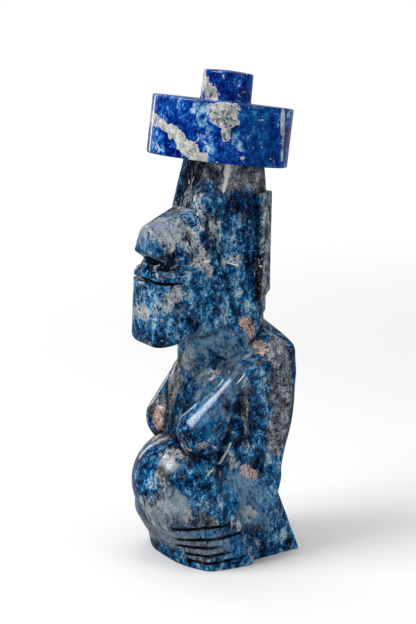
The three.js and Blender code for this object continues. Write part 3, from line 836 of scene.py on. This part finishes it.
def figure_stone():
    """Blue stone with grey, pale and pink clouds, a grain that runs up the figure, and painted shade in its
    creases.
    """
    stone = Stone("figure stone", 0.72)
    names = ("grey", "pale", "night", "calm", "deep", "bright", "pink", "hollow")
    grey, pale, night, calm, deep, bright, rosy, hollow = (stone.cloud(name) for name in names)
    still = 1.0 - calm * 0.7
    broad = stone.wave(0.08, 1, 4.0, 0.6, 0.8)
    mottle = stone.wave(0.3, 2, 9.0, 0.68, 0.3) * still
    fine = stone.wave(1.3, 3, 4.0, 0.7, 0.0, False)
    swirl = stone.wave(0.14, 22, 4.0, 0.6, 3.0)
    # deep clouds darken the tone; along the groove under the nose this is painted shade
    tone = 0.51 + broad * 1.2 + swirl * 1.5 + mottle * 2.4 + fine * 1.2 * still + bright * 0.13 - deep * 0.13
    stone.lay(None, stone.ramp(tone.clamp(), BLUE))
    rust = stone.wave(0.22, 8, 8.0, 0.8, 0.3)
    rust = rust * still + broad * 0.4 - bright * 0.04 - deep * 0.05
    stone.lay(stone.step(rust, 0.11, 0.16) * 0.8, rgba(50, 50, 54))
    ash = stone.wave(0.13, 5, 10.0, 0.72, 1.5)
    greyed = stone.step(ash * 5.5 + grey * 1.15 - bright * 0.6 - deep * 0.5, 0.45, 0.72)
    grey_tone = (0.58 + mottle * 2.4 + fine * 1.4 + swirl * 1.2).clamp()
    stone.lay(greyed * 0.92, stone.ramp(grey_tone, GREY))
    milk = stone.wave(0.19, 6, 11.0, 0.74, 1.5)
    # painted shade: the crease mask keeps the pale patches out of the creases
    paled = stone.step(milk * 6.0 + swirl * 1.5 + pale * 1.15 - deep * 0.4 - hollow * 0.5, 0.64, 0.92)
    pale_tone = (0.58 + mottle * 2.4 + fine * 1.4).clamp()
    stone.lay(paled * 0.94, stone.ramp(pale_tone, PALE))
    pink = stone.step(rosy * 1.1 + milk * 3.0 + fine * 2.5, 0.55, 0.85)
    stone.lay(pink, stone.ramp(pale_tone, PINK))
    dark_tone = (0.4 + mottle * 2.5 + fine).clamp()
    # night clouds: dark stone, and painted shade in the groove under the nose
    stone.lay(stone.step(night * 1.2 + milk * 2.2, 0.3, 0.55) * 0.95, stone.ramp(dark_tone, NIGHT))
    haze = stone.wave(0.11, 24, 6.0, 0.62, 2.5) + calm * 0.12
    mist = stone.step(haze, 0.04, 0.16) * (0.25 + calm * 0.4 - deep * 0.25)
    stone.lay(mist, stone.ramp(pale_tone, MIST))
    stone.lay(stone.threads(0.13, 4, 0.025) * 0.75, rgba(4, 12, 26))
    stone.lay(stone.specks(0.8, 7, 0.08, 0.105) * 0.9 * still, rgba(6, 8, 12))
    stone.lay(stone.specks(0.6, 17, 0.12, 0.15) * 0.7 * still, rgba(84, 70, 62))
    stone.lay(stone.specks(1.0, 9, 0.15, 0.18) * 0.6 * still, rgba(150, 170, 186))
    stone.lay(stone.threads(0.09, 10, 0.014) * (0.3 + night * 0.6), rgba(170, 178, 184))
    stone.lay(stone.threads(0.2, 26, 0.03) * night * 0.8, rgba(150, 162, 174))
    stone.lay(veins(stone, stone.bent, FIGURE_VEINS), rgba(226, 222, 214))
    # painted shade: near-black laid into the creases and cuts, where shade falls
    stone.lay(hollow * 0.88, rgba(2, 4, 9))
    rough = 0.13 + broad * 0.1 + greyed * 0.06
    return stone.polish(rough, 0.16 - greyed * 0.08, mottle + fine * 0.5, 0.00005)


STAR = (24.9, -9.2, 182.5)
STAR_ACROSS = (0.29, 0.95, 0.0)


def hat_stone():
    """Royal blue stone with a pale band, a starburst and white flecks."""
    stone = Stone("hat stone", 0.9)
    broad = stone.wave(0.1, 11, 5.0, 0.6, 0.8)
    mottle = stone.wave(0.36, 12, 9.0, 0.68, 0.4)
    fine = stone.wave(1.2, 13, 4.0, 0.7, 0.0, False)
    mixed = broad * 1.7 + mottle * 2.4 + fine * 1.0
    stone.lay(None, stone.ramp((mixed + 0.5).clamp(), ROYAL))
    teal = stone.step(stone.cloud("teal") + mottle * 1.5, 0.3, 0.7)
    stone.lay(teal, stone.ramp((mixed + 0.44).clamp(), TEAL))
    azure = stone.step(stone.cloud("azure") + mottle * 2.5, 0.35, 0.9)
    stone.lay(azure * 0.85, stone.ramp((mixed + 0.66).clamp(), BLUE))
    off = stone.vector("SUBTRACT", stone.bent, STAR)
    turn = stone.maths("ARCTAN2", stone.dot(off, (0.0, 0.0, 1.0)), stone.dot(off, STAR_ACROSS))
    far = stone.length(off) + mottle * 12.0
    petals = stone.maths("SINE", turn * 7.0 + mottle * 16.0)
    heart = stone.step(petals * 1.2 + far * 0.45, 1.6, 0.2) * stone.step(far, 8.5, 6.5)
    milk = stone.wave(0.2, 15, 10.0, 0.7, 0.8) * 3.6 + stone.cloud("pale")
    paled = stone.step(milk + petals * 0.12 * stone.step(far, 12.0, 5.0), 0.5, 0.62)
    cream_tone = (0.56 + mottle * 2.4 + fine * 1.5 + broad * 0.8).clamp()
    stone.lay(paled, stone.ramp(cream_tone, CREAM))
    stone.lay(heart * 0.75 * paled, rgba(44, 62, 84))
    rim = stone.step(milk, 0.43, 0.5) * stone.step(milk, 0.64, 0.55)
    stone.lay(rim * 0.8, rgba(220, 212, 198))
    stone.lay(stone.specks(0.55, 16, 0.18, 0.22), rgba(212, 208, 198))
    stone.lay(stone.specks(1.3, 18, 0.17, 0.22) * 0.7, rgba(150, 176, 196))
    rough = 0.12 + broad * 0.1
    return stone.polish(rough, 0.16 - paled * 0.08, mottle + fine * 0.5, 0.00004)


# Hat: one turned outline, its knob set back, sunk nicks along its edges

HAT_INPUTS = (
    "Radius", "Thickness", "Edge", "Knob top", "Knob foot", "Knob height", "Knob back",
    "Crown", "Chip", "Seed", "Lean", "Forward", "Gap", "Height", "Middle",
)
CROWN_CORNER = 5
CROWN_ROUND = 0.003
KNOB_MARGIN = 0.002
NICK_HEART, NICK_END = 0.0004, 0.0016
SEAM = 0.000004


def group_input(tree, name, kind="NodeSocketFloat"):
    """A named input of the node group, as the identifier that a modifier sets it by."""
    return tree.interface.new_socket(name, in_out="INPUT", socket_type=kind).identifier


def hat_outline(sheet, take):
    """Half section of the hat: from the middle of its seat out, up and in to the crown."""
    radius, thick, crown = take["Radius"], take["Thickness"], take["Crown"]
    knob, top = take["Knob top"], thick + take["Knob height"]
    corners = [
        (0.0, 0.0), (radius, 0.0), (radius, thick), (take["Knob foot"], thick),
        (knob, top - crown), (knob * 0.55, top - crown * 0.3), (0.0, top),
    ]
    index = sheet.add("GeometryNodeInputIndex")
    choice = {"data_type": "VECTOR", "items": len(corners)}
    places = {n + 1: sheet.join(x, 0.0, z) for n, (x, z) in enumerate(corners)}
    pick = sheet.add("GeometryNodeIndexSwitch", choice, {0: index, **places})
    line = sheet.add("GeometryNodeMeshLine", None, {"Count": len(corners)})
    bent = sheet.add("GeometryNodeSetPosition", None, {"Geometry": line, "Position": pick})
    wire = sheet.add("GeometryNodeMeshToCurve", None, {"Mesh": bent})
    differs = {"data_type": "INT", "operation": "NOT_EQUAL"}
    edge_corner = sheet.add("FunctionNodeCompare", differs, {2: index, 3: CROWN_CORNER})
    rounds = {0: edge_corner, 1: CROWN_ROUND, 2: take["Edge"]}
    soft = sheet.add("GeometryNodeSwitch", {"input_type": "FLOAT"}, rounds)
    fillet = {"Curve": wire, "Radius": soft, "Count": 6, "Limit Radius": True}
    return sheet.add("GeometryNodeFilletCurve", {"mode": "POLY"}, fillet)


def turned(sheet, take, wire):
    """Where each point of a flat grid lies on the turned hat, and how far out and up it is."""
    thick, rim = take["Thickness"], take["Edge"]
    run, around, _ = sheet.split(sheet.add("GeometryNodeInputPosition"))
    follow = {"Curves": wire, "Factor": run + 0.5}
    place = sheet.add("GeometryNodeSampleCurve", {"mode": "FACTOR"}, follow, "Position")
    out, _, up = sheet.split(place)
    angle = (around + 0.5) * (2 * pi)
    above = sheet.step(up, thick - rim * 0.5, thick - rim * 0.1)
    inward = sheet.step(out, take["Radius"] - 1.5 * KNOB_MARGIN, take["Knob foot"] + KNOB_MARGIN)
    shift = take["Knob back"] * above * inward
    x, y = out * sheet.maths("COSINE", angle), out * sheet.maths("SINE", angle) + shift
    return sheet.join(x, y, up), out, up


def edge_closeness(sheet, out, up, radius, height):
    """1 on an edge ring of the outline, 0 from about a millimetre off it."""
    gap_out, gap_up = out - radius, up - height
    off = sheet.maths("SQRT", gap_out * gap_out + gap_up * gap_up)
    return sheet.step(off, NICK_END, NICK_HEART)


def nicks(sheet, take, form, out, up):
    """Small pulls toward the middle of the disc, scattered along the three edges."""
    thick = take["Thickness"]
    knob_edge = thick + take["Knob height"] - take["Crown"]
    near_top = edge_closeness(sheet, out, up, take["Radius"], thick)
    near_foot = edge_closeness(sheet, out, up, take["Radius"], 0.0)
    near_knob = edge_closeness(sheet, out, up, take["Knob top"], knob_edge)
    place = sheet.vector("ADD", form, sheet.join(take["Seed"], take["Seed"]))
    nick = sheet.step(sheet.noise(place, 330.0, 3.0, 0.6), 0.58, 0.7)
    broken = near_top.most(near_foot).most(near_knob) * nick * take["Chip"]
    inward = sheet.vector("SUBTRACT", sheet.join(z=thick * 0.5), form)
    return sheet.scaled(sheet.vector("NORMALIZE", inward), broken)


def seated(sheet, take, hat):
    """The hat set forward over its glue line and leaned with the head top."""
    seat = sheet.join(0.0, take["Forward"] * -1.0, take["Gap"])
    moved = sheet.add("GeometryNodeTransform", None, {"Geometry": hat, "Translation": seat})
    tip = sheet.add("FunctionNodeEulerToRotation", None, {0: sheet.join(take["Lean"] * -1.0)})
    lift = sheet.join(0.0, take["Middle"], take["Height"])
    placing = {"Geometry": moved, "Rotation": tip, "Translation": lift}
    return sheet.add("GeometryNodeTransform", None, placing)


def turning_tree(around=320, along=260):
    """Node group that turns, nicks and seats the hat, and the identifiers of its inputs."""
    tree = bpy.data.node_groups.new("turned hat", "GeometryNodeTree")
    names = {name: group_input(tree, name) for name in HAT_INPUTS}
    names["Stone"] = group_input(tree, "Stone", "NodeSocketMaterial")
    tree.interface.new_socket("Geometry", in_out="OUTPUT", socket_type="NodeSocketGeometry")
    sheet = Sheet(tree)
    source = sheet.add("NodeGroupInput").socket.node
    take = {s.name: Sock(sheet, s) for s in source.outputs if s.name}
    size = {"Size X": 1.0, "Size Y": 1.0, "Vertices X": along, "Vertices Y": around}
    grid = sheet.add("GeometryNodeMeshGrid", None, size)
    form, out, up = turned(sheet, take, hat_outline(sheet, take))
    place = sheet.vector("ADD", form, nicks(sheet, take, form, out, up))
    shaped = sheet.add("GeometryNodeSetPosition", None, {"Geometry": grid, "Position": place})
    closed = sheet.add("GeometryNodeMergeByDistance", None, {"Geometry": shaped, "Distance": SEAM})
    smoothing = {"Geometry": seated(sheet, take, closed), "Shade Smooth": True}
    smooth = sheet.add("GeometryNodeSetShadeSmooth", None, smoothing)
    real = sheet.add("GeometryNodeRealizeInstances", None, {"Geometry": smooth})
    dressed = sheet.add("GeometryNodeSetMaterial", None, {"Geometry": real, "Material": take["Stone"]})
    sheet.add("NodeGroupOutput", None, {0: dressed}, None)
    return tree, names


# Carving grid of the figure, in its units; bands hold the finger lines, the mouth and the nose

GRID_SIDE = 17.6
GRID_FRONT = -26
GRID_BACK = 16
GRID_BOTTOM = -1.13
FINE_BANDS = [(1, 13.5, 0.62), (69.5, 73.5, 0.45), (73.5, 79, 0.7)]


# Operators: one for each piece and one for the stage

class MOAI_OT_figure(bpy.types.Operator):
    """Carve the figure and give it its stone"""
    bl_idname = "moai.figure"
    bl_label = "Carve the figure"

    def execute(self, context):
        size = context.scene.moai_figure_settings
        unit = size.height / UNITS_HIGH
        wobble, wide, deep = size.wobble / unit, size.groove_width / unit, size.groove_depth / unit

        def form(x, y, z):
            a = np.abs(x)
            carved = blend(body(a, y, z), head(a, y, z), 0.3)
            carved = carved + finger_lines(a, y, z, wide, deep) + wobble * hand_wobble(x, y, z)
            top = (z - UNITS_HIGH) * cos(size.lean) + y * sin(size.lean)
            return trim(trim(carved, top, 0.25), -z, 0.4)

        step = size.cell / unit
        half = np.arange(step / 2, GRID_SIDE + step, step)
        axes = (
            np.concatenate([-half[::-1], half]),
            grid_lines(GRID_FRONT, GRID_BACK, step),
            grid_lines(GRID_BOTTOM, UNITS_HIGH + 3, step, FINE_BANDS),
        )
        raw, faces = skin(form, axes)
        points = raw * unit
        points[:, 1] += FIGURE_BOX[0][1] - BELLY_FRONT * unit
        points = np.clip(points, np.array(FIGURE_BOX[0]), np.array(FIGURE_BOX[1]))
        figure = mesh_object("figure", points, faces)
        figure.data.set_sharp_from_angle(angle=radians(34))
        mark_clouds(figure.data, FIGURE_CLOUDS)
        # painted shade: how deep each point lies in a crease, darkened by the stone
        mark_crease_shade(figure.data, form, raw)
        figure.data.materials.append(figure_stone())
        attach(figure, "root")
        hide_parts("moai_figure")
        return {"FINISHED"}


class MOAI_OT_hat(bpy.types.Operator):
    """Turn the hat with its knob and seat it on the head"""
    bl_idname = "moai.hat"
    bl_label = "Turn the hat"

    def execute(self, context):
        size = context.scene.moai_hat_settings
        figure = context.scene.moai_figure_settings
        tree, names = turning_tree()
        blank = bpy.data.objects.new("hat blank", bpy.data.meshes.new("hat blank"))
        context.collection.objects.link(blank)
        modifier = blank.modifiers.new("turning", "NODES")
        modifier.node_group = tree
        values = {
            "Radius": size.diameter / 2, "Thickness": size.thickness, "Edge": size.edge_round,
            "Knob top": size.knob_top / 2, "Knob foot": size.knob_foot / 2, "Knob height": size.knob_height,
            "Knob back": size.knob_back, "Crown": size.crown, "Chip": size.chip, "Seed": float(size.seed),
            "Lean": figure.lean, "Forward": size.forward, "Gap": size.gap, "Height": figure.height,
            "Middle": FIGURE_BOX[0][1] - BELLY_FRONT * figure.height / UNITS_HIGH,
            "Stone": hat_stone(),
        }
        for name, value in values.items():
            modifier[names[name]] = value
        depsgraph = context.evaluated_depsgraph_get()
        mesh = bpy.data.meshes.new_from_object(blank.evaluated_get(depsgraph))
        bpy.data.objects.remove(blank)
        if len(mesh.polygons) == 0:
            raise RuntimeError("the hat has no faces")
        hat = bpy.data.objects.new("hat", mesh)
        mesh.name = "hat"
        context.collection.objects.link(hat)
        outward(mesh)
        points = np.clip(mesh_points(mesh), np.array(HAT_BOX[0]), np.array(HAT_BOX[1]))
        mesh.vertices.foreach_set("co", points.astype(np.float32).ravel())
        mesh.set_sharp_from_angle(angle=radians(40))
        mark_clouds(mesh, HAT_CLOUDS)
        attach(hat, "root")
        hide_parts("topknot_hat")
        return {"FINISHED"}


def outward(mesh):
    """Turns the faces outward."""
    shape = bmesh.new()
    shape.from_mesh(mesh)
    bmesh.ops.recalc_face_normals(shape, faces=shape.faces)
    shape.to_mesh(mesh)
    shape.free()


LIGHT_AIM = Vector((0, 0, 0.1))
KEY_HEART = 0.2
FLOOR_RADIUS = 4.0
GLOW_START, GLOW_END = 250.0, 1400.0


class MOAI_OT_stage(bpy.types.Operator):
    """Lay the floor, hang the lights and place the camera"""
    bl_idname = "moai.stage"
    bl_label = "Set the stage"

    def execute(self, context):
        size = context.scene.moai_stage_settings
        floor = round_floor(size.floor)
        floor.visible_glossy = False
        context.scene.world = studio(size)
        context.scene.view_settings.view_transform = "Standard"
        soft_light("key", size.key, (0.9, 0.5), (-0.1, -0.9, 0.92))
        soft_light("key heart", size.key * KEY_HEART, (0.5, 0.25), (-0.1, -0.88, 0.9))
        soft_light("rim", size.rim, (0.1, 0.7), (-0.95, -0.1, 0.4))
        soft_light("fill", size.fill, (0.5, 0.5), (1.0, 0.6, 0.6))
        soft_light("overhead", size.top, (0.7, 0.7), (-0.1, 0.1, 1.1))
        camera = bpy.data.objects.new("camera", bpy.data.cameras.new("camera"))
        context.collection.objects.link(camera)
        camera.location = size.camera
        camera.data.lens = size.lens
        aim = Vector(size.look) - Vector(size.camera)
        camera.rotation_euler = aim.to_track_quat("-Z", "Y").to_euler()
        camera.data.clip_start = 0.01
        context.scene.camera = camera
        return {"FINISHED"}


def round_floor(colour):
    """Pale paper floor that glows far from the object, to meet the white without a line."""
    shape = bmesh.new()
    bmesh.ops.create_circle(shape, cap_ends=True, radius=FLOOR_RADIUS, segments=96)
    mesh = bpy.data.meshes.new("floor")
    shape.to_mesh(mesh)
    shape.free()
    paper = Surface("floor paper")
    far = paper.step(paper.length(paper.place), GLOW_START, GLOW_END)
    glow = paper.mix(far, (0.0, 0.0, 0.0, 1.0), (0.6, 0.6, 0.6, 1.0))
    mesh.materials.append(paper.finish({
        "Base Color": (*colour, 1.0), "Roughness": 0.7, "Emission Color": glow, "Emission Strength": 1.0,
    }))
    floor = bpy.data.objects.new("floor", mesh)
    bpy.context.collection.objects.link(floor)
    return floor


def studio(size):
    """White surroundings, bright behind the object and dim in front of it."""
    world = bpy.data.worlds.new("studio")
    world.use_nodes = True
    world.node_tree.nodes.clear()
    sheet = Sheet(world.node_tree)
    way = sheet.add("ShaderNodeTexCoord", output=0)
    behind = -Vector(size.camera)
    behind.z = 0
    share = sheet.dot(way, tuple(behind.normalized()))
    glow = size.dim + sheet.step(share, 0.45, 1.0) * (size.back - size.dim)
    mirrored = sheet.add("ShaderNodeLightPath", output=3)
    seen = sheet.add("ShaderNodeLightPath", output=0)
    strength = size.sky + (glow - size.sky) * mirrored + (1.0 - size.sky) * seen
    shader = sheet.add("ShaderNodeBackground", None, {0: (1.0, 1.0, 1.0, 1.0), 1: strength})
    sheet.add("ShaderNodeOutputWorld", None, {0: shader}, None)
    return world


def soft_light(name, power, size, place):
    """Square-cornered soft light that faces the object."""
    data = bpy.data.lights.new(name, "AREA")
    data.energy = power
    data.shape = "RECTANGLE"
    data.size, data.size_y = size
    light = bpy.data.objects.new(name, data)
    bpy.context.collection.objects.link(light)
    light.location = place
    light.rotation_euler = (LIGHT_AIM - Vector(place)).to_track_quat("-Z", "Y").to_euler()


class MOAI_PT_panel(bpy.types.Panel):
    """Sizes and steps of the stone moai"""
    bl_label = "Stone moai"
    bl_idname = "MOAI_PT_panel"
    bl_space_type = "VIEW_3D"
    bl_region_type = "UI"
    bl_category = "Moai"

    def draw(self, context):
        scene = context.scene
        for settings, operator in (
                (scene.moai_figure_settings, MOAI_OT_figure), (scene.moai_hat_settings, MOAI_OT_hat),
                (scene.moai_stage_settings, MOAI_OT_stage)):
            box = self.layout.box()
            for name in settings.__annotations__:
                box.prop(settings, name)
            box.operator(operator.bl_idname)


CLASSES = (
    FigureSettings, HatSettings, StageSettings, MOAI_OT_figure, MOAI_OT_hat, MOAI_OT_stage, MOAI_PT_panel,
)


def register():
    for each in CLASSES:
        bpy.utils.register_class(each)
    bpy.types.Scene.moai_figure_settings = PointerProperty(type=FigureSettings)
    bpy.types.Scene.moai_hat_settings = PointerProperty(type=HatSettings)
    bpy.types.Scene.moai_stage_settings = PointerProperty(type=StageSettings)


def unregister():
    del bpy.types.Scene.moai_stage_settings
    del bpy.types.Scene.moai_hat_settings
    del bpy.types.Scene.moai_figure_settings
    for each in reversed(CLASSES):
        bpy.utils.unregister_class(each)


def main():
    register()
    bpy.ops.moai.stage()
    bpy.ops.moai.figure()
    bpy.ops.moai.hat()


if __name__ == "__main__":
    main()
